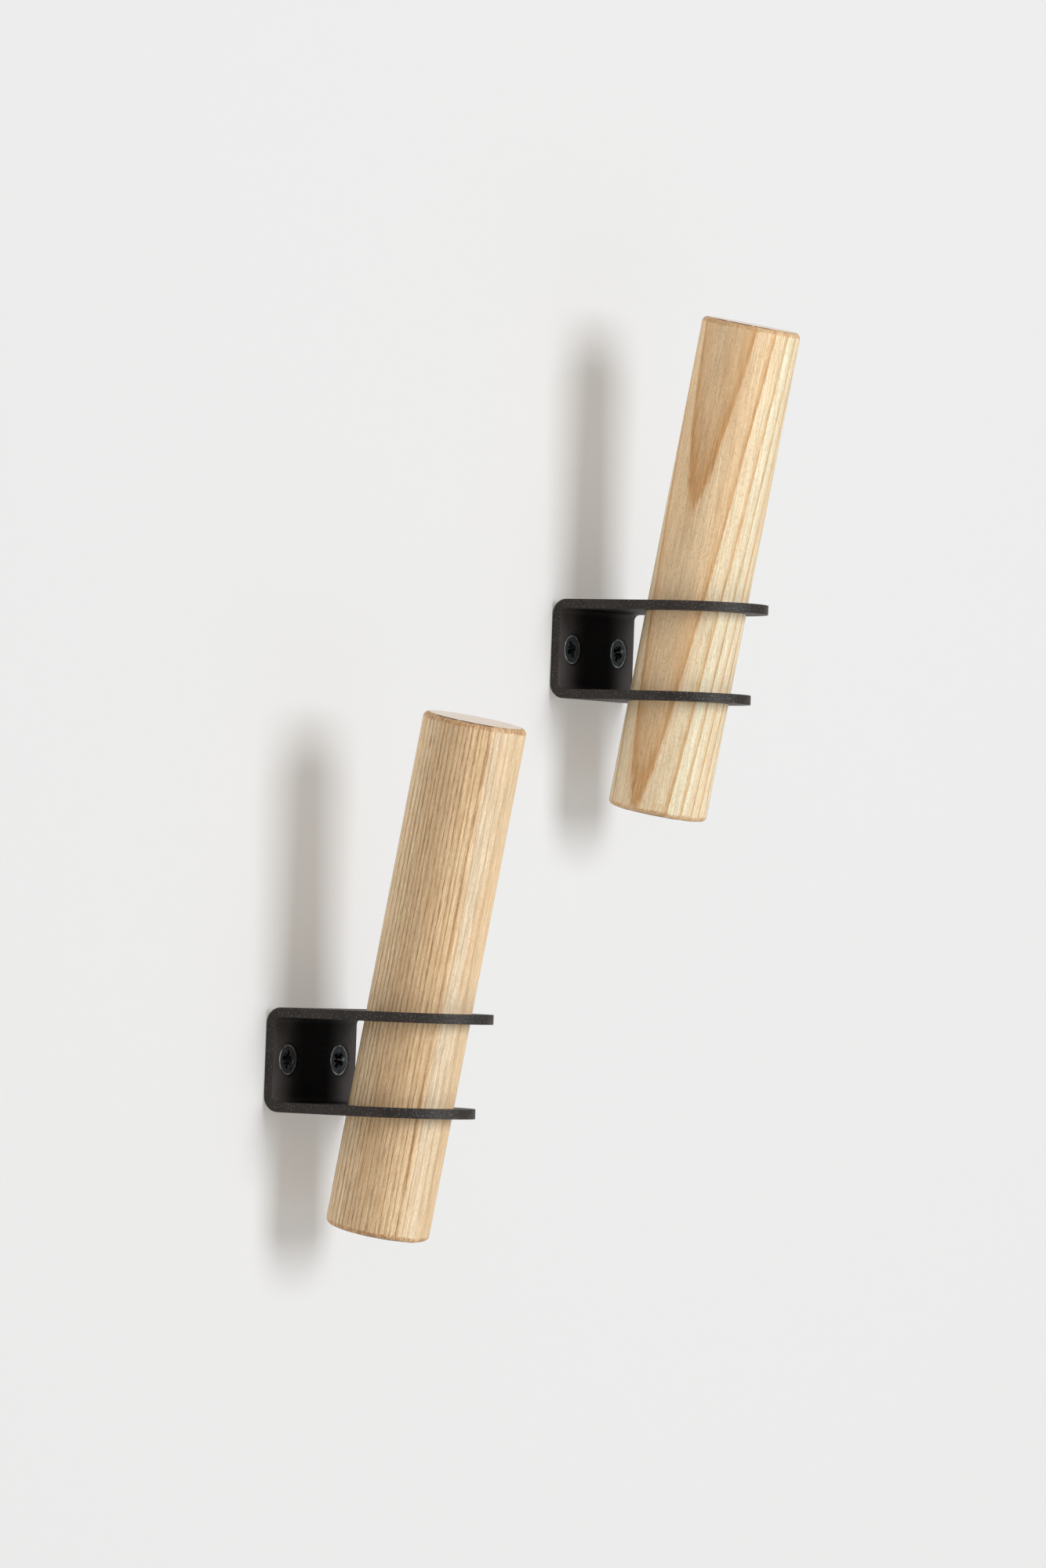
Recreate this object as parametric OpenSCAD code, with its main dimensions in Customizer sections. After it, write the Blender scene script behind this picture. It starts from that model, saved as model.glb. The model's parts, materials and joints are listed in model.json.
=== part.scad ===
// A pair of wall hooks. Each hook is a bent sheet-steel bracket that holds a tilted
// round dowel in two holes, and is fixed by two countersunk screws in nylon wall plugs.
// The wall's surface is the plane y = 0, the hooks stand out towards -Y, and +Z is up.
// The origin is the middle of the lower bracket's back face.

/* [Bracket] */
// Thickness of the sheet steel
sheet_t = 3; // [3:0.5:4]
// Width of the back plate and of both arms
bracket_w = 46; // [44:1:60]
// Height over both arms
bracket_h = 32; // [30:1:40]
// Inside radius of the two bends
bend_r = 2; // [1:0.5:3]

/* [Dowel] */
// Diameter of the dowel
dowel_d = 32; // [24:1:32]
// Length of the dowel above the bracket's mid-height, along its axis
dowel_above = 107.5; // [60:0.5:120]
// Length of the dowel below the bracket's mid-height, along its axis
dowel_below = 52.5; // [40:0.5:60]
// Lean of the dowel, its top end away from the wall, in degrees
dowel_lean = 10.5; // [0:0.5:12]
// Distance of the dowel's axis from the wall at the bracket's mid-height
dowel_out = 37.5; // [35:0.5:45]
// Radius of the dowel's sanded end edges
dowel_edge_r = 2; // [0.5:0.5:3]
// Radial play of the dowel in the bracket's holes
dowel_play = 0.05; // [0.05:0.01:0.1]

/* [Screws] */
// Distance between the two screws of a hook
screw_spacing = 28.5; // [24:0.5:30]
// Diameter of the screw's countersunk head
head_d = 9.4; // [8.6:0.1:9.6]
// Outside diameter of the screw's thread
thread_d = 5; // [4:0.1:5]
// Diameter of the screw's plain shank and of the thread's root
shank_d = 3.4; // [3:0.1:3.6]
// Length of the screw over its head
screw_len = 50; // [45:1:60]
// Pitch of the screw's thread
thread_pitch = 2.4; // [2:0.1:3]
// Width of the countersink at the front of the back plate
sink_d = 11; // [10.6:0.1:11]

/* [Wall plugs] */
// Diameter of the wall plug
plug_d = 8; // [8:0.5:10]
// Length of the wall plug
plug_len = 40; // [38:1:42]
// Depth of the wall plug's rim under the wall's surface
plug_depth = 2.5; // [2.5:0.5:4]

/* [Pair] */
// Distance from the lower hook to the upper one along the wall
pair_dx = 157; // [60:1:400]
// Height of the upper hook over the lower one
pair_dz = 133; // [0:1:300]

/* [Hidden] */

$fn = 96;
eps = 0.01;
left = -1;
right = 1;
steel = [0.16, 0.145, 0.14];
lower_wood = [0.80, 0.66, 0.49];
upper_wood = [0.89, 0.77, 0.58];
black_zinc = [0.10, 0.11, 0.12];
nylon = [0.55, 0.56, 0.57];

outer_bend_r = bend_r + sheet_t;
arm_mid_z = (bracket_h - sheet_t) / 2;
arm_end_r = bracket_w / 2;
arm_reach = dowel_out + arm_mid_z * tan(dowel_lean) + arm_end_r;

// Screw lengths are counted from the top face of the head, into the wall
head_rim = 0.3;
sink_gap = 0.05;
head_sunk = (sink_d - head_d) / 2 - head_rim - sink_gap;
screw_hole_r = thread_d / 2 + 0.1;
point_len = 5;
thread_start = 16;
thread_crest = 0.35;
thread_depth = (thread_d - shank_d) / 2;
thread_turns = floor((screw_len - point_len - thread_start) / thread_pitch);

// Cross recess in the screw's head
recess_top_r = 2.5;
recess_end_r = 0.9;
recess_deep = 2.6;
recess_wing = 1.15;
recess_core_r = 1.35;
ray_len = 6.4;
ray_w = 0.4;
ray_deep = 0.3;

// Wall plug
plug_bore_r = thread_d / 2 + 0.05;
plug_tip = 2;
plug_slot_w = 1;
plug_slot_start = 9;
plug_slot_end = plug_len - 7;
plug_groove = 0.4;
plug_groove_w = 1.2;
plug_groove_pitch = 4;

module at_upper_hook() {
    translate([pair_dx, 0, pair_dz]) children();
}

// Turns the axis from +Z to the dowel's leaning axis
module on_dowel_axis() {
    translate([0, -dowel_out, 0]) rotate([dowel_lean, 0, 0]) children();
}

// Turns the axis from +Z to +Y, into the wall, at one of the two screw places
module at_screw(side) {
    translate([side * screw_spacing / 2, 0, 0]) rotate([-90, 0, 0]) children();
}

// Rectangle with rounded corners on its low x side only, open-ended towards high x
module rounded_back(x0, x1, half_h, r) {
    translate([x0 + r, -half_h]) square([x1 - x0 - r, 2 * half_h]);
    translate([x0, -half_h + r]) square([r + eps, 2 * (half_h - r)]);
    for (s = [-1, 1]) translate([x0 + r, s * (half_h - r)]) circle(r);
}

// Side view of the sheet bent into a U: x is the distance from the wall, y is up
module bent_profile() {
    difference() {
        rounded_back(0, arm_reach + 1, bracket_h / 2, outer_bend_r);
        rounded_back(sheet_t, arm_reach + 2, bracket_h / 2 - sheet_t, bend_r);
    }
}

module bent_sheet() {
    rotate([90, 0, -90]) linear_extrude(bracket_w, center = true) bent_profile();
}

// Plan outline of one arm: straight sides, and a half-round end about its own hole
module arm_outline(side) {
    hole_out = dowel_out + side * arm_mid_z * tan(dowel_lean);
    translate([-bracket_w / 2, -hole_out]) square([bracket_w, hole_out + 1]);
    translate([0, -hole_out]) circle(arm_end_r);
}

// Both outlines as prisms, which share only the back plate
module arm_prisms() {
    translate([0, 0, -1]) linear_extrude(bracket_h / 2 + 2) arm_outline(1);
    translate([0, 0, -bracket_h / 2 - 1]) linear_extrude(bracket_h / 2 + 2) arm_outline(-1);
}

// Screw hole with its countersink, from the front face of the back plate into the wall
module countersunk_hole() {
    sink_h = sink_d / 2 + 1 - screw_hole_r;
    translate([0, 0, -sheet_t - 1]) cylinder(h = sink_h, r1 = sink_d / 2 + 1, r2 = screw_hole_r);
    translate([0, 0, -sheet_t]) cylinder(h = sheet_t + 1, r = screw_hole_r);
}

module bracket() {
    color(steel) difference() {
        intersection() {
            bent_sheet();
            arm_prisms();
        }
        on_dowel_axis() cylinder(h = 3 * bracket_h, r = dowel_d / 2 + dowel_play, center = true);
        for (side = [left, right]) at_screw(side) countersunk_hole();
    }
}

// Half section of the dowel, with its two sanded edges
module dowel_section() {
    r = dowel_d / 2;
    e = dowel_edge_r;
    translate([0, -dowel_below]) square([r - e, dowel_above + dowel_below]);
    translate([0, e - dowel_below]) square([r, dowel_above + dowel_below - 2 * e]);
    translate([r - e, e - dowel_below]) circle(e);
    translate([r - e, dowel_above - e]) circle(e);
}

module dowel(shade) {
    color(shade) on_dowel_axis() rotate_extrude() dowel_section();
}

// Half section of the screw: flat rim, 90 degree cone, plain shank, thread rings, point
module screw_section() {
    head_r = head_d / 2;
    root_r = shank_d / 2;
    thread_rings = [
        for (i = [0 : thread_turns - 1]) let (z = thread_start + i * thread_pitch) each [
            [root_r, z],
            [root_r + thread_depth, z + thread_depth * 0.6],
            [root_r + thread_depth, z + thread_depth * 0.6 + thread_crest],
            [root_r, z + thread_depth * 1.2 + thread_crest]
        ]
    ];
    head = [[0, 0], [head_r, 0], [head_r, head_rim], [root_r, head_rim + head_r - root_r]];
    point = [[root_r, screw_len - point_len], [0, screw_len]];
    polygon(concat(head, thread_rings, point));
}

module cross_recess() {
    intersection() {
        translate([0, 0, -eps]) cylinder(h = recess_deep, r1 = recess_top_r, r2 = recess_end_r);
        union() {
            for (a = [0, 90]) rotate(a) cube([2 * recess_top_r, recess_wing, 3 * recess_deep], center = true);
            cylinder(h = 3 * recess_deep, r = recess_core_r, center = true);
        }
    }
    for (a = [45, 135]) rotate(a) cube([ray_len, ray_w, 2 * ray_deep], center = true);
}

module screw(side) {
    color(black_zinc) at_screw(side) translate([0, 0, head_sunk - sheet_t]) difference() {
        rotate_extrude() screw_section();
        cross_recess();
    }
}

// Nylon plug: a tube with a tapered tip, four long slots and shallow grip grooves
module wall_plug(side) {
    color(nylon) at_screw(side) translate([0, 0, plug_depth]) difference() {
        union() {
            cylinder(h = plug_len - plug_tip, d = plug_d);
            translate([0, 0, plug_len - plug_tip]) cylinder(h = plug_tip, d1 = plug_d, d2 = plug_d - 2);
        }
        translate([0, 0, -1]) cylinder(h = plug_len + 2, r = plug_bore_r);
        for (a = [0, 90]) rotate(a) translate([-plug_d, -plug_slot_w / 2, plug_slot_start])
            cube([2 * plug_d, plug_slot_w, plug_slot_end - plug_slot_start]);
        for (z = [plug_slot_start + 2 : plug_groove_pitch : plug_slot_end - 3]) translate([0, 0, z])
            difference() {
                cylinder(h = plug_groove_w, d = plug_d + 2);
                translate([0, 0, -1]) cylinder(h = plug_groove_w + 2, d = plug_d - 2 * plug_groove);
            }
    }
}

bracket();  // lower_bracket
dowel(lower_wood);  // lower_dowel
screw(left);  // lower_screw_left
screw(right);  // lower_screw_right
wall_plug(left);  // lower_wall_plug_left
wall_plug(right);  // lower_wall_plug_right
at_upper_hook() bracket();  // upper_bracket
at_upper_hook() dowel(upper_wood);  // upper_dowel
at_upper_hook() screw(left);  // upper_screw_left
at_upper_hook() screw(right);  // upper_screw_right
at_upper_hook() wall_plug(left);  // upper_wall_plug_left
at_upper_hook() wall_plug(right);  // upper_wall_plug_right
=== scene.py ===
"""Two wall hooks on a pale wall: powder-coated steel brackets, ash dowels, black screws, nylon plugs.

Everything is in metres in the CAD model's frame: the wall is the plane y = 0, the hooks stand out
towards -Y, and +Z is up. Materials count in millimetres, because grain and paint texture are that small.
"""

import json
import math

import bmesh
import bpy
from mathutils import Matrix, Vector, noise


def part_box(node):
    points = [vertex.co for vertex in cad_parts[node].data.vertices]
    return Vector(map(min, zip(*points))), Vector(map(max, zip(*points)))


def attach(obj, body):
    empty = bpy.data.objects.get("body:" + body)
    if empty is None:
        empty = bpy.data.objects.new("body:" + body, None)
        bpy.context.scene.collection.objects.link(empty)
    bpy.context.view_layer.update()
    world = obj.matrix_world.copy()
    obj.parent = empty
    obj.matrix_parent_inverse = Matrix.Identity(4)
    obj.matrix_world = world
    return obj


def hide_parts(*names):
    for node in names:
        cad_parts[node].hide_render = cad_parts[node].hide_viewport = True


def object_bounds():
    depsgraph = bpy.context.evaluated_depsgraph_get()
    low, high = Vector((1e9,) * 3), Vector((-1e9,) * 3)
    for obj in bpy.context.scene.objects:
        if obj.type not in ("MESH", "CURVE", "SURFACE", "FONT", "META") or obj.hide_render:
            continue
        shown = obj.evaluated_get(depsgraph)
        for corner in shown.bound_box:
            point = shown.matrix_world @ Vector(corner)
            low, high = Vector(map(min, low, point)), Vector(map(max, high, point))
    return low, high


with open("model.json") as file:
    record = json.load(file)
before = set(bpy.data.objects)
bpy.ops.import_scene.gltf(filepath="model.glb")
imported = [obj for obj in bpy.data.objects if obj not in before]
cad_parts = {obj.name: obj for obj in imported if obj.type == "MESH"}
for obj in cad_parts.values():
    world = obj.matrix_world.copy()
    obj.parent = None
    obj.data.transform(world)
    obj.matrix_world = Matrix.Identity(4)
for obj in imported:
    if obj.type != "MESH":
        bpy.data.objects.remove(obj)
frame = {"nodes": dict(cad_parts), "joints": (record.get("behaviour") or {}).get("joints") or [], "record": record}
cad_low, cad_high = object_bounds()
record = frame["record"]
BODY_OF = {node: body for body, nodes in record["behaviour"]["bodies"].items() for node in nodes}

MM = 0.001
HOOKS = ("lower", "upper")
SIDES = ("left", "right")


# ---------------------------------------------------------------- meshes

WELD_DISTANCE = 0.001 * MM
FLAT_ANGLE = math.radians(0.5)
PLATE_ZONE = 6 * MM


def new_object(name, bm):
    """Turns a bmesh into a linked object and frees the bmesh."""
    mesh = bpy.data.meshes.new(name)
    bm.to_mesh(mesh)
    bm.free()
    piece = bpy.data.objects.new(name, mesh)
    bpy.context.scene.collection.objects.link(piece)
    return piece


def apply_modifiers(piece):
    """Keeps the piece's evaluated mesh and drops its modifiers."""
    depsgraph = bpy.context.evaluated_depsgraph_get()
    mesh = bpy.data.meshes.new_from_object(piece.evaluated_get(depsgraph))
    piece.modifiers.clear()
    piece.data = mesh


def add_bevel(piece, width, segments=3, angle=35):
    """Rounds every edge that is sharper than the angle, in degrees, then evens out the shading."""
    bevel = piece.modifiers.new("rounded edges", "BEVEL")
    bevel.width = width
    bevel.segments = segments
    bevel.limit_method = "ANGLE"
    bevel.angle_limit = math.radians(angle)
    bevel.use_clamp_overlap = True
    normals = piece.modifiers.new("even shading", "WEIGHTED_NORMAL")
    normals.keep_sharp = True


def stand_in(piece, node, material):
    """The piece stands in for the node: it gets the material and the node's body, and the node is hidden."""
    piece.data.materials.clear()
    piece.data.materials.append(material)
    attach(piece, BODY_OF[node])
    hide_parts(node)


def mark_cut_faces(bm, node):
    """The face attribute "cut" is 1 on a bent sheet's cut edges and 0 on its rolled faces and bends."""
    layer = bm.faces.layers.float.new("cut")
    plate_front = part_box(node)[1].y - PLATE_ZONE
    for face in bm.faces:
        on_plate = face.calc_center_median().y > plate_front and abs(face.normal.x) < 0.9
        on_arm = abs(face.normal.z) > 0.3
        face[layer] = 0.0 if on_arm or on_plate else 1.0


def rounded_copy(node, bevel_width):
    """A copy of a CAD node with merged flat faces and rounded edges, as coating or moulding leaves them.

    The copy's own origin is the middle of its box, at the wall's side.
    """
    bm = bmesh.new()
    bm.from_mesh(frame["nodes"][node].data)
    bmesh.ops.remove_doubles(bm, verts=bm.verts, dist=WELD_DISTANCE)
    bmesh.ops.dissolve_limit(
        bm, angle_limit=FLAT_ANGLE, verts=bm.verts, edges=bm.edges, use_dissolve_boundaries=False
    )
    for face in bm.faces:
        face.smooth = True
    mark_cut_faces(bm, node)
    low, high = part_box(node)
    origin = Vector(((low.x + high.x) / 2, high.y, (low.z + high.z) / 2))
    bmesh.ops.translate(bm, vec=-origin, verts=bm.verts)
    piece = new_object(node + "_part", bm)
    piece.matrix_world = Matrix.Translation(origin)
    add_bevel(piece, bevel_width)
    apply_modifiers(piece)
    return piece


def around(segments):
    """Angles of a full turn, one for each segment."""
    return [2 * math.pi * i / segments for i in range(segments)]


def lathe(rings, segments, attribute=None):
    """A closed surface about z, made of rings that go up.

    Each ring is its radii and its heights, one for each segment, and its value of the point attribute.
    """
    bm = bmesh.new()
    layer = bm.verts.layers.float.new(attribute) if attribute else None
    angles = around(segments)
    rows = []
    for radii, heights, value in rings:
        row = []
        for angle, radius, height in zip(angles, radii, heights):
            vert = bm.verts.new((radius * math.cos(angle), radius * math.sin(angle), height))
            if attribute:
                vert[layer] = value
            row.append(vert)
        rows.append(row)
    for low, high in zip(rows, rows[1:]):
        for i in range(segments):
            j = (i + 1) % segments
            bm.faces.new((low[i], low[j], high[j], high[i]))
    bm.faces.new(list(reversed(rows[0])))
    bm.faces.new(rows[-1])
    for face in bm.faces:
        face.smooth = True
    return bm


# ---------------------------------------------------------------- dowels

DOWEL_RADIUS = 16 * MM
DOWEL_EDGE = 2.0 * MM
DOWEL_SEGMENTS = 160
SIDE_RINGS = 48
EDGE_STEPS = 8
END_FACE_SHARES = (0.15, 0.4, 0.65, 0.85, 0.96)
END_CROWN = 0.02 * MM
EDGE_VARIATION = 0.22
SIDE_WOBBLE = 0.03 * MM
# How quickly the noise of sanding changes round an edge, round the side and up the side
EDGE_NOISE = 3
SIDE_NOISE = 2
SIDE_NOISE_UP = 40
# Steps in that noise from one end to the other, and from one dowel to the next
END_STEP = 9
SEED_STEP = 7


def dowel_matrix(hook):
    """The dowel's own frame: its origin is its middle, and z runs up its leaning axis."""
    low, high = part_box(hook + "_dowel")
    joint = next(j for j in frame["joints"] if j["child"] == hook + "_dowel")
    axis = Vector(joint["axis"]).normalized()
    across = Vector((1, 0, 0))
    turn = Matrix((across, axis.cross(across), axis)).transposed().to_4x4()
    return Matrix.Translation((low + high) / 2) @ turn


def dowel_length(hook):
    """Length along the axis, from the height of the box that a leaning cylinder fills."""
    low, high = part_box(hook + "_dowel")
    axis_z = dowel_matrix(hook).col[2][2]
    lean_sine = math.sqrt(1 - axis_z * axis_z)
    flat_radius = DOWEL_RADIUS - DOWEL_EDGE
    return ((high.z - low.z) / 2 - flat_radius * lean_sine - DOWEL_EDGE) / axis_z * 2 + 2 * DOWEL_EDGE


def edge_radius(angle, end, seed):
    """Radius of an end's sanded edge, which varies round the dowel as hand sanding leaves it."""
    spot = Vector((math.cos(angle) * EDGE_NOISE, math.sin(angle) * EDGE_NOISE, end * END_STEP + seed))
    return DOWEL_EDGE * (1 + EDGE_VARIATION * noise.noise(spot))


def end_rings(end, half_length, seed):
    """Rings from an end face's middle out and over its edge. The end is -1 or 1."""
    angles = around(DOWEL_SEGMENTS)
    edges = [edge_radius(angle, end, seed) for angle in angles]
    rings = []
    for share in END_FACE_SHARES:
        height = end * (half_length - END_CROWN * share)
        rings.append(([(DOWEL_RADIUS - edge) * share for edge in edges], [height] * DOWEL_SEGMENTS, 1.0))
    for step in range(EDGE_STEPS + 1):
        turn = math.pi / 2 * step / EDGE_STEPS
        radii = [DOWEL_RADIUS - edge * (1 - math.sin(turn)) for edge in edges]
        heights = [end * (half_length - edge * (1 - math.cos(turn)) - END_CROWN) for edge in edges]
        rings.append((radii, heights, 1 - step / EDGE_STEPS))
    return rings


def side_ring(height, seed):
    """One ring of the dowel's side, a little out of round."""
    radii = []
    for angle in around(DOWEL_SEGMENTS):
        up = height * SIDE_NOISE_UP + seed * SEED_STEP
        spot = Vector((math.cos(angle) * SIDE_NOISE, math.sin(angle) * SIDE_NOISE, up))
        radii.append(DOWEL_RADIUS - SIDE_WOBBLE + SIDE_WOBBLE * noise.noise(spot))
    return radii, [height] * DOWEL_SEGMENTS, 0.0


def make_dowel(hook, seed):
    """A turned dowel with sanded end edges. The point attribute "end" is 1 on its ends, 0 on its side."""
    half_length = dowel_length(hook) / 2
    side_start = -half_length + DOWEL_EDGE * 2
    side_length = 2 * half_length - 4 * DOWEL_EDGE
    rings = end_rings(-1, half_length, seed)
    for k in range(1, SIDE_RINGS):
        rings.append(side_ring(side_start + side_length * k / SIDE_RINGS, seed))
    rings += reversed(end_rings(1, half_length, seed))
    piece = new_object(hook + "_dowel_turned", lathe(rings, DOWEL_SEGMENTS, "end"))
    piece.matrix_world = dowel_matrix(hook)
    return piece


# ---------------------------------------------------------------- screws

SCREW_SEGMENTS = 64
HEAD_RADIUS = 4.7 * MM
HEAD_RIM = 0.3 * MM
ROOT_RADIUS = 1.7 * MM
THREAD_RADIUS = 2.5 * MM
PITCH = 2.4 * MM
THREAD_START = 16 * MM
THREAD_END = 45 * MM
SCREW_LENGTH = 50 * MM
THREAD_STEP = 0.16 * MM
# Each flank takes this share of the pitch, and a larger crest gain makes the thread's crest flatter
FLANK_SHARE = 0.32
CREST_GAIN = 1.25
# How much longer the thread lasts on the point than its root does
POINT_GAIN = 1.5
TIP_RADIUS = 0.12 * MM
TIP_SETBACK = 0.02 * MM

# The head's worn edge: how far each point lies inside the rim and under the top face, in mm
HEAD_EDGE = ((0.22, 0.0), (0.10, 0.04), (0.02, 0.14))
# The neck under the head's cone: each point's distance from the root and from the cone's end, in mm
NECK = ((0.5, -0.5), (0.1, 0.1), (0.0, 0.8))
# Cross recess, in mm: length at the top and bottom, width at the top and bottom, depth
WING = (6.1, 2.6, 1.6, 1.1, 2.5)
RAY = (5.6, 2.8, 0.9, 0.5, 1.4)
CORE_TOP_RADIUS = 1.5 * MM
CORE_END_RADIUS = 0.8 * MM
CORE_HEIGHT = 2.6 * MM
CORE_MIDDLE = 1.1 * MM
CUT_ABOVE = 0.2 * MM
RECESS_BEVEL = 0.10 * MM
# How far each screw was driven round, in degrees
SCREW_TURNS = {("lower", "left"): 12, ("lower", "right"): 38, ("upper", "left"): 66, ("upper", "right"): 25}


def thread_radius(angle, z):
    """Radius of the screw below its head: plain shank, helical thread, then the point."""
    fade_in = min(max((z - THREAD_START) / PITCH, 0), 1)
    fade_out = min(max((SCREW_LENGTH - z) / (SCREW_LENGTH - THREAD_END), 0), 1)
    phase = ((z - THREAD_START) / PITCH - angle / (2 * math.pi)) % 1
    flank = max(0.0, 1 - abs(phase - 0.5) / FLANK_SHARE)
    crest = min(1.0, flank * CREST_GAIN)
    thread = (THREAD_RADIUS - ROOT_RADIUS) * crest * fade_in * min(1.0, fade_out * POINT_GAIN)
    return ROOT_RADIUS * fade_out + thread


def screw_body():
    """The screw about z, its head's top at z = 0 and its point at the far end."""
    cone_end = HEAD_RIM + HEAD_RADIUS - ROOT_RADIUS
    plain = [(HEAD_RADIUS * 0.5, 0.0)]
    plain += [(HEAD_RADIUS - inside * MM, under * MM) for inside, under in HEAD_EDGE]
    plain.append((HEAD_RADIUS, HEAD_RIM))
    plain += [(ROOT_RADIUS + out * MM, cone_end + along * MM) for out, along in NECK]
    rings = [([radius] * SCREW_SEGMENTS, [z] * SCREW_SEGMENTS, 0.0) for radius, z in plain]
    z = THREAD_START - THREAD_STEP
    while z < SCREW_LENGTH - THREAD_STEP:
        radii = [thread_radius(angle, z) for angle in around(SCREW_SEGMENTS)]
        rings.append((radii, [z] * SCREW_SEGMENTS, 0.0))
        z += THREAD_STEP
    tip_z = SCREW_LENGTH - TIP_SETBACK
    rings.append(([TIP_RADIUS] * SCREW_SEGMENTS, [tip_z] * SCREW_SEGMENTS, 0.0))
    return lathe(rings, SCREW_SEGMENTS)


def tapered_bar(size, turn):
    """A closed bar across the screw's axis that narrows downwards, as one arm pair of a cross recess does."""
    length_top, length_end, width_top, width_end, depth = (value * MM for value in size)
    bm = bmesh.new()
    corners = []
    for z, length, width in ((-CUT_ABOVE, length_top, width_top), (depth, length_end, width_end)):
        for x, y in ((-1, -1), (1, -1), (1, 1), (-1, 1)):
            corners.append(bm.verts.new((x * length / 2, y * width / 2, z)))
    for face in ((3, 2, 1, 0), (4, 5, 6, 7), (0, 1, 5, 4), (1, 2, 6, 5), (2, 3, 7, 6), (3, 0, 4, 7)):
        bm.faces.new([corners[i] for i in face])
    bmesh.ops.rotate(bm, verts=corners, matrix=Matrix.Rotation(turn, 3, "Z"))
    return bm


def recess_core():
    """The round middle of the cross recess."""
    bm = bmesh.new()
    bmesh.ops.create_cone(
        bm, cap_ends=True, segments=24, radius1=CORE_TOP_RADIUS, radius2=CORE_END_RADIUS, depth=CORE_HEIGHT,
        matrix=Matrix.Translation((0, 0, CORE_MIDDLE)),
    )
    return bm


def make_screw_mesh():
    """One finished screw mesh, which all four screws share."""
    screw = new_object("screw_model", screw_body())
    wings = [tapered_bar(WING, turn) for turn in (0, math.pi / 2)]
    rays = [tapered_bar(RAY, turn) for turn in (math.pi / 4, 3 * math.pi / 4)]
    cutters = [new_object(f"recess_{i}", bm) for i, bm in enumerate([*wings, recess_core(), *rays])]
    for cutter in cutters:
        cut = screw.modifiers.new(cutter.name, "BOOLEAN")
        cut.object = cutter
        cut.solver = "EXACT"
    apply_modifiers(screw)
    for cutter in cutters:
        bpy.data.objects.remove(cutter)
    add_bevel(screw, RECESS_BEVEL, segments=2, angle=50)
    apply_modifiers(screw)
    mesh = screw.data
    bpy.data.objects.remove(screw)
    for polygon in mesh.polygons:
        polygon.use_smooth = True
    mesh.set_sharp_from_angle(angle=math.radians(40))
    return mesh


def make_screw(hook, side, mesh):
    """A screw in its place, with its recess turned."""
    node = f"{hook}_screw_{side}"
    low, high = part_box(node)
    piece = bpy.data.objects.new(node + "_threaded", mesh.copy())
    bpy.context.scene.collection.objects.link(piece)
    place = Matrix.Translation(((low.x + high.x) / 2, low.y, (low.z + high.z) / 2))
    into_wall = Matrix.Rotation(-math.pi / 2, 4, "X")
    driven = Matrix.Rotation(math.radians(SCREW_TURNS[hook, side]), 4, "Z")
    piece.matrix_world = place @ into_wall @ driven
    return piece


# ---------------------------------------------------------------- shader helpers

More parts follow.
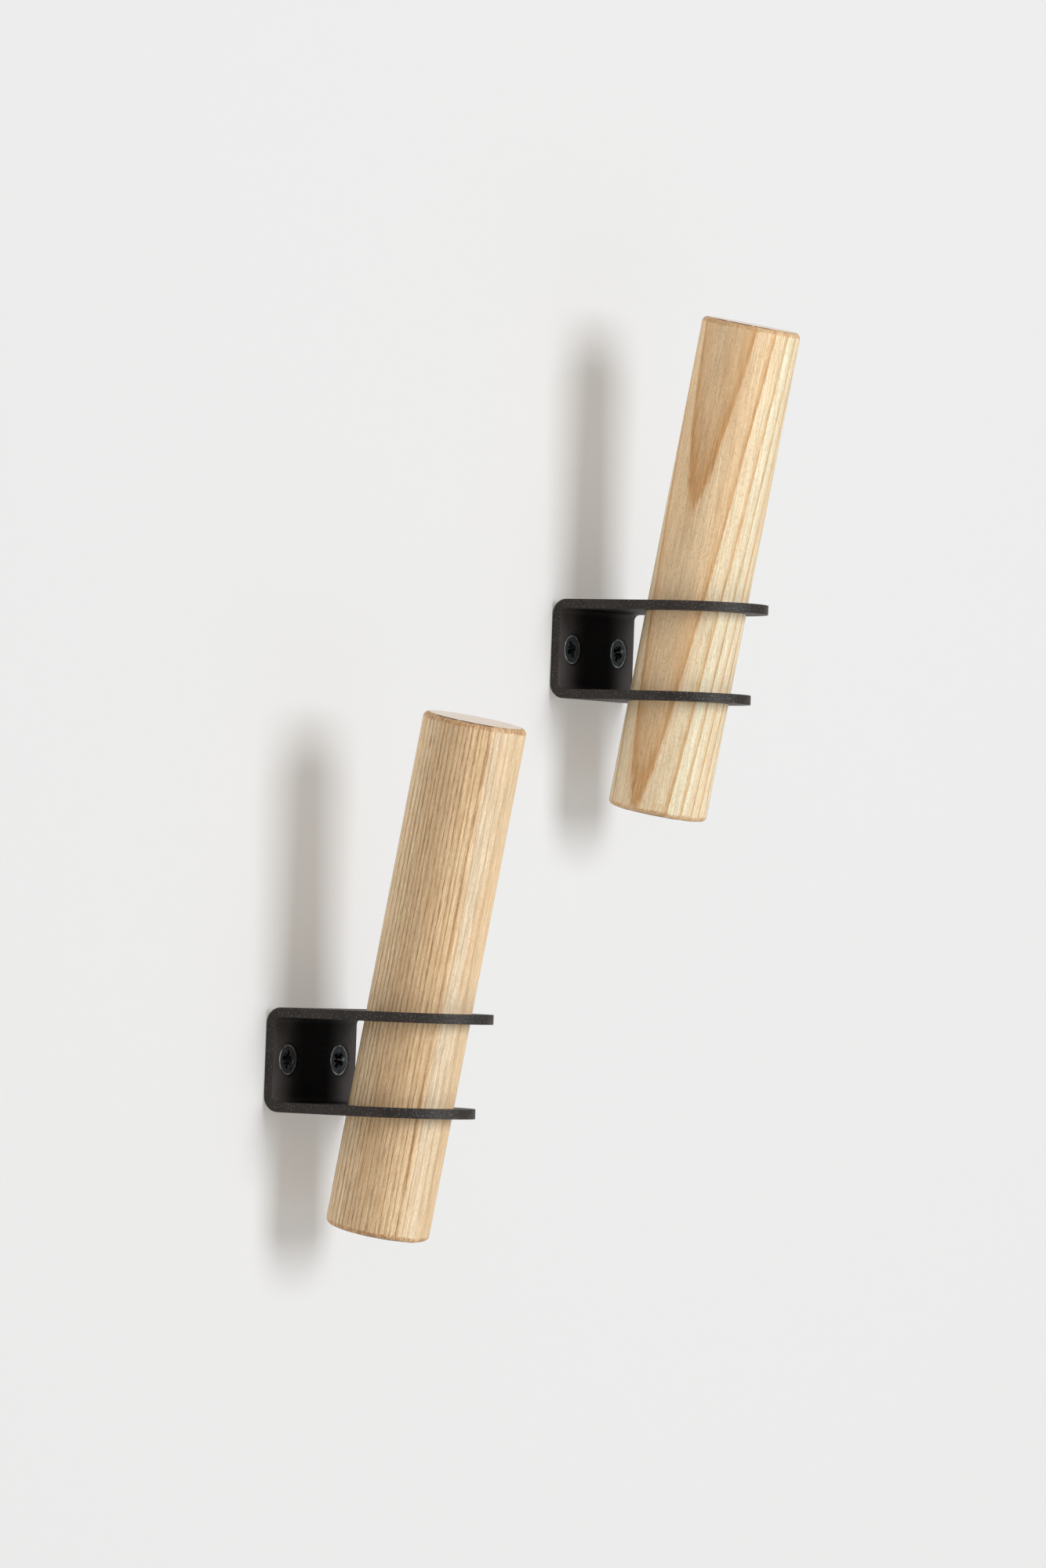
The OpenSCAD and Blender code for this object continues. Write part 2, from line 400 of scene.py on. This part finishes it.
class Nodes:
    """Short calls that add nodes to one node tree."""

    def __init__(self, tree):
        self.tree = tree

    def node(self, kind, **settings):
        """A new node with those settings."""
        made = self.tree.nodes.new(kind)
        for key, value in settings.items():
            setattr(made, key, value)
        return made

    def feed(self, socket, value):
        """Links a socket, or sets it to a plain value."""
        if isinstance(value, bpy.types.NodeSocket):
            self.tree.links.new(value, socket)
        else:
            socket.default_value = value

    def math(self, operation, a, b=0.0, c=0.0):
        """The result of one operation on up to three values."""
        made = self.node("ShaderNodeMath", operation=operation)
        for socket, value in zip(made.inputs, (a, b, c)):
            self.feed(socket, value)
        return made.outputs[0]

    def product(self, first, *factors):
        """All the values multiplied together."""
        for factor in factors:
            first = self.math("MULTIPLY", first, factor)
        return first

    def total(self, first, *terms):
        """All the values added together."""
        for term in terms:
            first = self.math("ADD", first, term)
        return first

    def wobble(self, value, size):
        """Moves a value of 0 to 1 into the range from -size / 2 to size / 2."""
        return self.math("MULTIPLY_ADD", value, size, -size / 2)

    def object_mm(self):
        """The piece's own coordinates, in millimetres."""
        scale = self.node("ShaderNodeVectorMath", operation="SCALE")
        self.feed(scale.inputs[0], self.node("ShaderNodeTexCoord").outputs["Object"])
        scale.inputs["Scale"].default_value = 1 / MM
        return scale.outputs[0]

    def split(self, vector):
        """The vector's x, y and z."""
        made = self.node("ShaderNodeSeparateXYZ")
        self.feed(made.inputs[0], vector)
        return made.outputs

    def attribute(self, name):
        """The value of one of the mesh's own attributes."""
        return self.node("ShaderNodeAttribute", attribute_name=name).outputs["Fac"]

    def stretched(self, vector, size):
        """The vector counted in features of that size, in millimetres."""
        made = self.node("ShaderNodeVectorMath", operation="DIVIDE")
        self.feed(made.inputs[0], vector)
        made.inputs[1].default_value = size
        return made.outputs[0]

    def noise(self, vector, size, detail, roughness, seed):
        """Noise from 0 to 1 whose features have that size, in millimetres."""
        made = self.node("ShaderNodeTexNoise", noise_dimensions="4D")
        self.feed(made.inputs["Vector"], self.stretched(vector, size))
        made.inputs["W"].default_value = seed
        made.inputs["Scale"].default_value = 1
        made.inputs["Detail"].default_value = detail
        made.inputs["Roughness"].default_value = roughness
        return made.outputs[0]

    def noise_1d(self, value, offset):
        """Noise from 0 to 1 along one value."""
        made = self.node("ShaderNodeTexNoise", noise_dimensions="1D")
        self.feed(made.inputs["W"], self.math("ADD", value, offset))
        made.inputs["Scale"].default_value = 1
        made.inputs["Detail"].default_value = 1
        return made.outputs[0]

    def band(self, value, low, high, to_low=0.0, to_high=1.0, curve="SMOOTHSTEP"):
        """Maps low..high to to_low..to_high, and stays level outside it."""
        made = self.node("ShaderNodeMapRange", interpolation_type=curve)
        self.feed(made.inputs["Value"], value)
        limits = {"From Min": low, "From Max": high, "To Min": to_low, "To Max": to_high}
        for name, number in limits.items():
            made.inputs[name].default_value = number
        return made.outputs[0]

    def ramp(self, value, stops):
        """The colour at that value, between stops of (position, colour)."""
        made = self.node("ShaderNodeValToRGB")
        elements = made.color_ramp.elements
        while len(elements) < len(stops):
            elements.new(0.5)
        for element, (position, color) in zip(elements, stops):
            element.position = position
            element.color = (*color, 1)
        self.feed(made.inputs[0], value)
        return made.outputs[0]

    def mix(self, share, a, b, blend="MIX"):
        """Blends the second colour into the first one."""
        made = self.node("ShaderNodeMix", data_type="RGBA", blend_type=blend)
        self.feed(made.inputs[0], share)
        for socket, color in ((made.inputs[6], a), (made.inputs[7], b)):
            self.feed(socket, (*color, 1) if isinstance(color, tuple) else color)
        return made.outputs[2]

    def tinted(self, color, tones):
        """The colour multiplied by another one."""
        return self.mix(1.0, color, tones, "MULTIPLY")

    def bump(self, height, distance, strength):
        """A normal for a height from 0 to 1 that stands for the distance, in metres."""
        made = self.node("ShaderNodeBump")
        made.inputs["Strength"].default_value = strength
        made.inputs["Distance"].default_value = distance
        self.feed(made.inputs["Height"], height)
        return made.outputs[0]


class Material(Nodes):
    """One material and its surface shader."""

    def __init__(self, name):
        self.material = bpy.data.materials.new(name)
        self.material.use_nodes = True
        super().__init__(self.material.node_tree)
        self.surface = self.tree.nodes["Principled BSDF"]

    def finish(self, color, roughness, normal=None, **plain):
        """Sets the surface's inputs; the plain ones are named with _ for a space."""
        self.feed(self.surface.inputs["Base Color"], (*color, 1) if isinstance(color, tuple) else color)
        self.feed(self.surface.inputs["Roughness"], roughness)
        if normal is not None:
            self.feed(self.surface.inputs["Normal"], normal)
        for key, value in plain.items():
            self.feed(self.surface.inputs[key.replace("_", " ")], value)
        return self.material


# ---------------------------------------------------------------- ash

# Distance from the tree's middle to the dowel's, which sets how much the rings curve, in mm
PITH_DISTANCE = 300.0
# The dowel's own middle is this far above the bracket's mid-height, in mm
BRACKET_TO_MIDDLE = 27.5
# Zones of tint and of painted light and shade are counted from -ZONE_REACH to ZONE_REACH across the dowel, in mm
ZONE_REACH = 18.0
# Past its calm distance a dowel's rings and pores fade over FADE mm to FADED of their strength
FADE = 3.0
FADED = 0.35
# The ends carry a painted shadow of the edge lip on one side: its direction across the dowel, in degrees, and how
# far out from the axis, in mm, the line starts and is full
LIP_SHADOW_SIDE = -162.0
LIP_SHADOW_REACH = (10.5, 12.5)

PORE_BROWN = (0.40, 0.225, 0.10)
WARM_TINT = (0.76, 0.46, 0.22)
END_GRAIN = (0.95, 0.86, 0.79)
OILED_EDGE = (0.68, 0.39, 0.18)
SPLIT_BROWN = (0.36, 0.19, 0.09)
PAINTED_LIP_SHADOW = (0.13, 0.065, 0.04)
FIBRE_TONES = [(0.33, (0.79, 0.75, 0.70)), (0.67, (1.16, 1.175, 1.19))]
HAIR_TONES = [(0.36, (0.86, 0.83, 0.79)), (0.64, (1.09, 1.10, 1.11))]
FLECK_TONES = [(0.35, (0.93, 0.92, 0.90)), (0.65, (1.05, 1.05, 1.06))]


def distance_towards(s, here, degrees):
    """Distance across the dowel from its axis, in mm, in a direction."""
    x, y, _ = s.split(here)
    turn = math.radians(degrees)
    return s.math("ADD", s.math("MULTIPLY", x, math.cos(turn)), s.math("MULTIPLY", y, math.sin(turn)))


def growth_level(s, here, bark_side, slope, slope_fall, wander, jag, seed):
    """Where a point lies among the growth rings: its distance towards the bark, in mm, with the rings'
    curve, their drift up the dowel and the way they stray.
    """
    outwards = distance_towards(s, here, bark_side)
    sideways = distance_towards(s, here, bark_side + 90)
    curve = s.math("DIVIDE", s.math("MULTIPLY", sideways, sideways), 2 * PITH_DISTANCE)
    rise = s.math("ADD", s.split(here)[2], BRACKET_TO_MIDDLE)
    steepness = s.math("SUBTRACT", slope, s.math("MULTIPLY", outwards, slope_fall))
    drift = s.math("MULTIPLY", rise, steepness)
    slow = s.noise(here, (12, 12, 55), 1.0, 0.4, seed)
    quick = s.noise(here, (2.2, 2.2, 12), 2.0, 0.5, seed + 3)
    ragged = s.noise(here, (0.4, 0.4, 3.5), 1.0, 0.5, seed + 5)
    strays = (s.wobble(slow, wander), s.wobble(quick, jag), s.wobble(ragged, jag))
    return s.total(outwards, curve, drift, *strays)


def year_wood(s, here, level, faded, ring, first_ring, uneven, season_stops, hair_depth, seed):
    """The growth rings' colour, and the season, which is 0 at the start of a year's ring and 1 at its end."""
    year = s.math("DIVIDE", s.math("SUBTRACT", level, first_ring), ring)
    width_change = s.noise_1d(s.math("MULTIPLY", year, 0.45), 5.3 * seed)
    year = s.math("ADD", year, s.wobble(width_change, 2.2 * uneven))
    season = s.math("FRACT", year)
    this_year = s.node("ShaderNodeTexWhiteNoise", noise_dimensions="1D")
    s.feed(this_year.inputs["W"], s.math("ADD", s.math("FLOOR", year), 0.37 * seed))
    strength = s.math("SUBTRACT", 1.25, s.math("MULTIPLY", this_year.outputs["Value"], uneven))
    patches = s.noise(here, (3, 3, 26), 2.0, 0.5, seed + 8)
    patchy = s.band(patches, 0.30, 0.60, 0.60, 1.0)
    strands = s.noise(here, (0.26, 0.26, 6), 2.0, 0.6, seed + 13)
    stringy = s.band(strands, 0.36, 0.58, 1.0 - 0.55 * hair_depth, 1.0 + 0.15 * hair_depth)
    strength = s.product(strength, faded, patchy, stringy)
    late_wood = s.mix(0.5, season_stops[-3][1], season_stops[-2][1])
    return s.mix(strength, late_wood, s.ramp(season, season_stops)), season


def cut_ends(s, here, wood, pore_depth, seed):
    """The cut ends: pale end grain, a sanded edge that soaked up oil, and between them a dark broken line on one
    side, a painted shadow of the edge lip.

    The point attribute "end" is 1 on an end face and falls to 0 over its sanded edge.
    """
    end = s.attribute("end")
    broken = s.noise(here, (2.2, 2.2, 2.2), 2.0, 0.6, seed + 29)
    fray = s.noise(here, (0.7, 0.7, 1.4), 2.0, 0.6, seed + 31)
    frayed_end = s.math("ADD", end, s.wobble(fray, 0.9))
    end_face = s.band(end, 0.88, 0.98)
    oiled_edge = s.product(s.band(frayed_end, 0.02, 0.22), s.band(end, 0.97, 0.85))
    lip = s.product(s.band(end, 0.03, 0.25), s.band(end, 0.90, 0.70))
    splits = s.band(s.noise(here, (0.75, 0.75, 3), 2.0, 0.6, seed + 37), 0.44, 0.58)
    # Painted shadow of the edge lip: a dark broken line on one side of each end
    lip_shadow_side = s.band(distance_towards(s, here, LIP_SHADOW_SIDE), *LIP_SHADOW_REACH, 0.15, 1.0)
    lip_shadow_line = s.product(s.band(end, 0.60, 0.74), s.band(end, 0.99, 0.90), lip_shadow_side)
    wood = s.mix(s.math("MULTIPLY", end_face, 0.74), wood, END_GRAIN)
    wood = s.mix(s.math("MULTIPLY", oiled_edge, 0.60), wood, OILED_EDGE)
    wood = s.mix(s.product(lip, splits, pore_depth), wood, SPLIT_BROWN)
    return s.mix(s.product(lip_shadow_line, s.band(broken, 0.38, 0.46, 0.0, 0.95)), wood, PAINTED_LIP_SHADOW)


def ash(name, bark_side, ring, first_ring, slope, slope_fall, wander, jag, uneven, calm, season_stops, tint_and_shade_zones,
        pore_depth, hair_depth, seed):
    """Oiled ash as a solid, in the dowel's own frame.

    bark_side: the direction across the dowel, in degrees, in which the tree grew
    ring, first_ring: width of a year's ring in mm, and how far the rings are moved towards the bark
    slope, slope_fall: how far the rings drift for each mm up, and how much less for each mm towards the bark
    wander, jag: how far the rings stray in all, slowly and quickly, in mm
    uneven: how much the rings differ from one another, from 0 to 1
    calm: distance towards the bark, in mm, past which rings and pores fade
    season_stops: the colours through one year
    tint_and_shade_zones: tints at distances towards the bark, in mm: the wood's own tone, with painted light and
    shade across the dowel
    pore_depth, hair_depth: strength of the pores and of the hair-fine fibres, from 0 to 1
    seed: a number that makes every noise in this piece of wood its own
    """
    s = Material(name)
    here = s.object_mm()
    level = growth_level(s, here, bark_side, slope, slope_fall, wander, jag, seed)
    faded = s.band(level, calm, calm + FADE, 1.0, FADED)
    wood, season = year_wood(
        s, here, level, faded, ring, first_ring, uneven, season_stops, hair_depth, seed
    )
    # The wood's own tone across the dowel, with painted light and shade on the sides that the lamp lights more or
    # less
    across = s.math("MULTIPLY_ADD", level, 1 / (2 * ZONE_REACH), 0.5)
    zone_stops = [((mm + ZONE_REACH) / (2 * ZONE_REACH), tint) for mm, tint in tint_and_shade_zones]
    wood = s.tinted(wood, s.ramp(across, zone_stops))

    # Pores: rows of fine dark dashes, dense in the early wood
    early = s.math("MULTIPLY_ADD", s.band(season, 0.45, 0.05), 0.6, 0.4)
    dashes = s.band(s.noise(here, (0.30, 0.30, 5), 2.0, 0.6, seed + 11), 0.51, 0.62)
    pores = s.product(dashes, early, faded)
    wood = s.mix(s.math("MULTIPLY", pores, pore_depth), wood, PORE_BROWN)

    # Fibres, hairs, flecks and slow changes of tint
    fibres = s.noise(here, (0.42, 0.42, 16), 3.0, 0.65, seed + 17)
    hairs = s.noise(here, (0.20, 0.20, 7), 2.0, 0.6, seed + 18)
    flecks = s.noise(here, (0.35, 0.35, 0.9), 1.0, 0.5, seed + 19)
    warmth = s.noise(here, (5, 5, 45), 2.0, 0.5, seed + 23)
    wood = s.tinted(wood, s.ramp(fibres, FIBRE_TONES))
    wood = s.mix(hair_depth, wood, s.ramp(hairs, HAIR_TONES), "MULTIPLY")
    wood = s.tinted(wood, s.ramp(flecks, FLECK_TONES))
    wood = s.mix(s.band(warmth, 0.45, 0.75, 0.0, 0.45), wood, WARM_TINT)
    wood = cut_ends(s, here, wood, pore_depth, seed)

    height = s.math("SUBTRACT", s.math("MULTIPLY", fibres, 0.5), pores)
    roughness = s.band(fibres, 0.2, 0.8, 0.50, 0.66)
    return s.finish(wood, roughness, s.bump(height, 0.07 * MM, 0.6), Specular_IOR_Level=0.3)


# ---------------------------------------------------------------- coat, zinc, nylon

COAT_TONES = [(0.32, (0.030, 0.0255, 0.0235)), (0.68, (0.082, 0.070, 0.065))]
CUT_EDGE_TONES = [(0.32, (0.007, 0.005, 0.0035)), (0.68, (0.042, 0.031, 0.024))]
PAINTED_COAT_GLINT = (0.16, 0.145, 0.135)
PLATE_SHADE_TINT = (0.16, 0.15, 0.15)
ZINC_TONES = [(0.3, (0.020, 0.024, 0.026)), (0.7, (0.060, 0.068, 0.072))]
ZINC_SPOTS = (0.18, 0.19, 0.20)
PAINTED_RIM_HIGHLIGHT = (0.50, 0.53, 0.55)
WEAR_AND_HIGHLIGHT_EDGE = (0.40, 0.42, 0.43)
PAINTED_RECESS_SHADE = (0.004, 0.004, 0.005)
NYLON_TONES = [(0.3, (0.44, 0.45, 0.46)), (0.7, (0.55, 0.56, 0.57))]


def powder_coat():
    """Black fine-texture powder coat: a warm near-black with a grain of small rounded bumps.

    The face attribute "cut" is 1 on the sheet's cut edges, whose coat is darker and carries painted glints.
    """
    s = Material("powder_coat")
    here = s.object_mm()
    grain = s.noise(here, (0.42, 0.42, 0.42), 3.0, 0.6, 2.0)
    cloud = s.noise(here, (9, 9, 9), 2.0, 0.5, 5.0)
    glint_spots = s.noise(here, (0.55, 0.55, 0.55), 1.0, 0.5, 9.0)
    cells = s.node("ShaderNodeTexVoronoi", feature="SMOOTH_F1")
    s.feed(cells.inputs["Vector"], s.stretched(here, (0.55, 0.55, 0.55)))
    cells.inputs["Scale"].default_value = 1
    shade = s.math("ADD", s.math("MULTIPLY", grain, 0.6), s.math("MULTIPLY", cloud, 0.4))
    # Painted glints: light specks mixed into the cut edges' colour
    cut_edge = s.mix(s.band(glint_spots, 0.56, 0.68, 0.0, 0.45), s.ramp(shade, CUT_EDGE_TONES), PAINTED_COAT_GLINT)
    cut = s.attribute("cut")
    color = s.mix(cut, s.ramp(shade, COAT_TONES), cut_edge)

    # Painted shade: the middle of the plate between the arms and behind the dowel is painted darker and given less
    # shine, for the shade that the dowel and the arms cast there
    x, y, z = s.split(here)
    plate_sides = s.band(s.math("ABSOLUTE", x), 6.0, 22.0)
    off_the_plate = s.band(y, -4.0, -26.0)
    outer_faces = s.band(s.math("ABSOLUTE", z), 14.0, 15.5)
    back = s.band(y, -2.2, -1.2)
    outside_plate_shade = plate_sides
    for place in (off_the_plate, outer_faces, back):
        outside_plate_shade = s.math("MAXIMUM", outside_plate_shade, place)
    color = s.mix(outside_plate_shade, s.tinted(color, PLATE_SHADE_TINT), color)

    shine = s.product(s.band(cut, 0.0, 1.0, 0.26, 0.34), s.math("MULTIPLY_ADD", outside_plate_shade, 0.85, 0.15))
    height = s.math("ADD", s.math("MULTIPLY", grain, 0.8), cells.outputs["Distance"])
    roughness = s.band(grain, 0.3, 0.7, 0.44, 0.62)
    return s.finish(color, roughness, s.bump(height, 0.14 * MM, 1.0), Specular_IOR_Level=shine)


def black_zinc():
    """Black zinc plating: a cool near-black metal, with a painted highlight along the head's rim, edge wear and
    painted highlights at the recess's edge, and painted shade in the recess.

    z is the depth under the head's top face.
    """
    s = Material("black_zinc")
    here = s.object_mm()
    x, y, z = s.split(here)
    spots = s.noise(here, (0.5, 0.5, 0.5), 3.0, 0.6, 1.0)
    cloud = s.noise(here, (1.8, 1.8, 1.8), 2.0, 0.5, 4.0)
    radius = s.math("SQRT", s.math("ADD", s.math("MULTIPLY", x, x), s.math("MULTIPLY", y, y)))
    rim_highlight = s.product(s.band(radius, 4.15, 4.4), s.band(z, 0.45, 0.25), s.band(cloud, 0.35, 0.55, 0.3, 1.0))
    in_recess = s.band(radius, 3.3, 3.1)
    recess_edge = s.product(s.band(z, 0.01, 0.04), s.band(z, 0.14, 0.10), in_recess)
    color = s.ramp(cloud, ZINC_TONES)
    color = s.mix(s.band(spots, 0.62, 0.75, 0.0, 0.5), color, ZINC_SPOTS)
    # Painted highlight along the head's rim
    color = s.mix(rim_highlight, color, PAINTED_RIM_HIGHLIGHT)
    # Edge wear and painted highlights in spots along the recess's top edge
    color = s.mix(s.product(recess_edge, s.band(spots, 0.35, 0.60)), color, WEAR_AND_HIGHLIGHT_EDGE)
    # Painted shade deeper in the recess
    color = s.mix(s.product(s.band(z, 0.12, 0.45), in_recess), color, PAINTED_RECESS_SHADE)
    roughness = s.band(cloud, 0.3, 0.7, 0.30, 0.46)
    return s.finish(color, roughness, s.bump(spots, 0.03 * MM, 0.7), Metallic=0.55)


def nylon():
    """Moulded grey nylon: slightly waxy, with faint flow marks."""
    s = Material("nylon")
    here = s.object_mm()
    flow = s.noise(here, (3, 9, 3), 2.0, 0.5, 1.0)
    skin = s.noise(here, (0.25, 0.25, 0.25), 2.0, 0.6, 6.0)
    roughness = s.band(skin, 0.3, 0.7, 0.38, 0.52)
    return s.finish(
        s.ramp(flow, NYLON_TONES), roughness, s.bump(skin, 0.02 * MM, 0.6),
        Subsurface_Weight=0.15, Subsurface_Scale=1 * MM, Subsurface_Radius=(1.0, 1.0, 1.0),
    )


# ---------------------------------------------------------------- the object

LOWER_ASH = ash(
    "ash_straight", bark_side=-73, ring=1.5, first_ring=0.35, slope=0.004, slope_fall=0.0, wander=0.9,
    jag=0.40, uneven=0.60, calm=9.0,
    season_stops=(
        (0.0, (0.36, 0.21, 0.10)), (0.08, (0.40, 0.24, 0.12)), (0.20, (0.77, 0.56, 0.35)),
        (0.55, (0.89, 0.72, 0.51)), (0.86, (0.87, 0.69, 0.47)), (1.0, (0.40, 0.24, 0.12)),
    ),
    tint_and_shade_zones=(
        (-12, (1.09, 1.08, 1.03)), (-8, (1.02, 1.0, 0.95)), (-5, (0.98, 0.89, 0.78)),
        (4, (0.98, 0.88, 0.77)), (6.5, (1.02, 0.95, 0.84)), (10.0, (1.0, 0.92, 0.81)),
        (11.6, (0.95, 0.96, 0.97)), (13.4, (0.96, 0.98, 1.0)), (15.2, (0.92, 0.88, 0.82)),
    ),
    pore_depth=0.70, hair_depth=1.0, seed=1.0,
)
UPPER_ASH = ash(
    "ash_flat_sawn", bark_side=-178, ring=3.95, first_ring=2.15, slope=0.065, slope_fall=0.0015, wander=0.3,
    jag=0.40, uneven=0.0, calm=40.0,
    season_stops=(
        (0.0, (0.69, 0.42, 0.20)), (0.07, (0.71, 0.45, 0.22)), (0.17, (0.83, 0.63, 0.40)),
        (0.32, (0.89, 0.73, 0.51)), (0.80, (0.92, 0.80, 0.59)), (0.955, (0.92, 0.79, 0.58)),
        (1.0, (0.73, 0.46, 0.23)),
    ),
    tint_and_shade_zones=(
        (-18, (0.98, 0.99, 1.0)), (2, (0.93, 0.94, 0.93)), (8, (0.97, 1.03, 1.04)),
        (12, (1.01, 0.995, 0.94)), (15, (1.06, 0.94, 0.82)), (18, (1.03, 0.885, 0.745)),
    ),
    pore_depth=0.36, hair_depth=0.35, seed=2.0,
)
COAT = powder_coat()
ZINC = black_zinc()
NYLON = nylon()

BRACKET_ROUNDING = 0.35 * MM
PLUG_ROUNDING = 0.12 * MM

for hook in HOOKS:
    bracket = f"{hook}_bracket"
    stand_in(rounded_copy(bracket, BRACKET_ROUNDING), bracket, COAT)
    for side in SIDES:
        plug = f"{hook}_wall_plug_{side}"
        stand_in(rounded_copy(plug, PLUG_ROUNDING), plug, NYLON)

stand_in(make_dowel("lower", seed=1), "lower_dowel", LOWER_ASH)
stand_in(make_dowel("upper", seed=2), "upper_dowel", UPPER_ASH)

screw_mesh = make_screw_mesh()
for hook, side in SCREW_TURNS:
    stand_in(make_screw(hook, side, screw_mesh), f"{hook}_screw_{side}", ZINC)


# ---------------------------------------------------------------- wall, floor, light, camera

WALL_GAP = 0.15 * MM
WALL_HALF = 5.0
FLOOR_HALF = 30.0
FLOOR_Z = -1.0
WALL_TOP = 4.0

KEY_DIRECTION = (0.06, -1.0, 0.19)
KEY_DISTANCE = 3.6
KEY_WIDTH = 1.62
KEY_HEIGHT = 1.7
KEY_POWER = 108.0
KEY_TINT = (0.93, 0.965, 1.0)
# The surroundings' brightness from the left to the right, and how it grows from the horizon to overhead
WORLD_LEFT_TO_RIGHT = (0.36, 0.16)
WORLD_LEVEL_TO_UP = (0.85, 1.75)
WORLD_STRENGTH = 1.05

# The camera that was fitted to the photograph: angles in degrees, distances in metres, lens and sensor in mm
CAMERA_YAW = 58.017
CAMERA_PITCH = 0.964
CAMERA_ROLL = -2.052
CAMERA_AIM = (0.0878, -0.020, 0.0882)
CAMERA_DISTANCE = 2.6314
CAMERA_LENS = 191.5
CAMERA_SENSOR = 36


def wall_paint():
    """Matt paint. Its back is clear, so that the hooks can be seen from behind the wall."""
    s = Material("wall_paint")
    roller = s.noise(s.object_mm(), (1.6, 1.6, 1.6), 2.0, 0.5, 3.0)
    s.finish(
        (0.50, 0.50, 0.50), 0.9, s.bump(roller, 0.02 * MM, 0.5), Specular_IOR_Level=0.1,
        Emission_Color=(1.0, 0.95, 0.89, 1), Emission_Strength=0.275,
    )
    front_or_back = s.node("ShaderNodeMixShader")
    s.feed(front_or_back.inputs[0], s.node("ShaderNodeNewGeometry").outputs["Backfacing"])
    s.feed(front_or_back.inputs[1], s.surface.outputs[0])
    s.feed(front_or_back.inputs[2], s.node("ShaderNodeBsdfTransparent").outputs[0])
    s.feed(s.tree.nodes["Material Output"].inputs["Surface"], front_or_back.outputs[0])
    return s.material


def floor_paint():
    """Matt pale grey paint with a faint speckle."""
    s = Material("floor_paint")
    speckle = s.noise(s.object_mm(), (4, 4, 4), 3.0, 0.6, 3.0)
    color = s.ramp(speckle, [(0.3, (0.60, 0.60, 0.59)), (0.7, (0.66, 0.66, 0.65))])
    return s.finish(color, 0.8, Specular_IOR_Level=0.2)


def stage_plane(name, corners, material):
    """A flat backdrop that isn't part of the object."""
    bm = bmesh.new()
    bm.faces.new([bm.verts.new(corner) for corner in corners])
    plane = new_object(name, bm)
    plane.data.materials.append(material)


def area_light(name, direction, distance, width, height, power, tint, target):
    """A rectangular softbox that shines at the target from a direction and a distance."""
    lamp = bpy.data.lights.new(name, "AREA")
    lamp.shape = "RECTANGLE"
    lamp.size = width
    lamp.size_y = height
    lamp.energy = power
    lamp.color = tint
    holder = bpy.data.objects.new(name, lamp)
    holder.location = target + Vector(direction).normalized() * distance
    holder.rotation_euler = Vector(direction).to_track_quat("Z", "Y").to_euler()
    holder.visible_camera = False
    bpy.context.scene.collection.objects.link(holder)


def studio_world():
    """Soft grey surroundings, brighter on the left and overhead."""
    world = bpy.data.worlds.new("studio")
    world.use_nodes = True
    bpy.context.scene.world = world
    s = Nodes(world.node_tree)
    x, _, z = s.split(s.node("ShaderNodeTexCoord").outputs["Generated"])
    sideways = s.band(x, -1.0, 1.0, *WORLD_LEFT_TO_RIGHT, curve="LINEAR")
    overhead = s.band(z, 0.0, 1.0, *WORLD_LEVEL_TO_UP, curve="LINEAR")
    brightness = s.product(sideways, overhead)
    grey = s.node("ShaderNodeCombineColor")
    for channel in grey.inputs:
        s.feed(channel, brightness)
    background = s.tree.nodes["Background"]
    s.feed(background.inputs["Color"], grey.outputs[0])
    s.feed(background.inputs["Strength"], WORLD_STRENGTH)


def camera():
    """The camera at the photograph's viewing angle: far off to the left, level with the hooks."""
    yaw, pitch, roll = map(math.radians, (CAMERA_YAW, CAMERA_PITCH, CAMERA_ROLL))
    forward = Vector((math.sin(yaw) * math.cos(pitch), math.cos(yaw) * math.cos(pitch), math.sin(pitch)))
    level_right = Vector((math.cos(yaw), -math.sin(yaw), 0))
    level_up = level_right.cross(forward)
    right = math.cos(roll) * level_right - math.sin(roll) * level_up
    up = math.sin(roll) * level_right + math.cos(roll) * level_up
    turn = Matrix((right, up, -forward)).transposed().to_4x4()
    data = bpy.data.cameras.new("camera")
    data.lens = CAMERA_LENS
    data.sensor_width = CAMERA_SENSOR
    holder = bpy.data.objects.new("camera", data)
    holder.matrix_world = Matrix.Translation(Vector(CAMERA_AIM) - forward * CAMERA_DISTANCE) @ turn
    bpy.context.scene.collection.objects.link(holder)
    bpy.context.scene.camera = holder


stage_plane("wall", [
    (-WALL_HALF, WALL_GAP, FLOOR_Z), (WALL_HALF, WALL_GAP, FLOOR_Z),
    (WALL_HALF, WALL_GAP, WALL_TOP), (-WALL_HALF, WALL_GAP, WALL_TOP),
], wall_paint())
stage_plane("floor", [
    (-FLOOR_HALF, -FLOOR_HALF, FLOOR_Z), (FLOOR_HALF, -FLOOR_HALF, FLOOR_Z),
    (FLOOR_HALF, FLOOR_HALF, FLOOR_Z), (-FLOOR_HALF, FLOOR_HALF, FLOOR_Z),
], floor_paint())
middle = (cad_low + cad_high) / 2
area_light("key", KEY_DIRECTION, KEY_DISTANCE, KEY_WIDTH, KEY_HEIGHT, KEY_POWER, KEY_TINT, middle)
studio_world()
camera()
bpy.context.scene.view_settings.view_transform = "Standard"
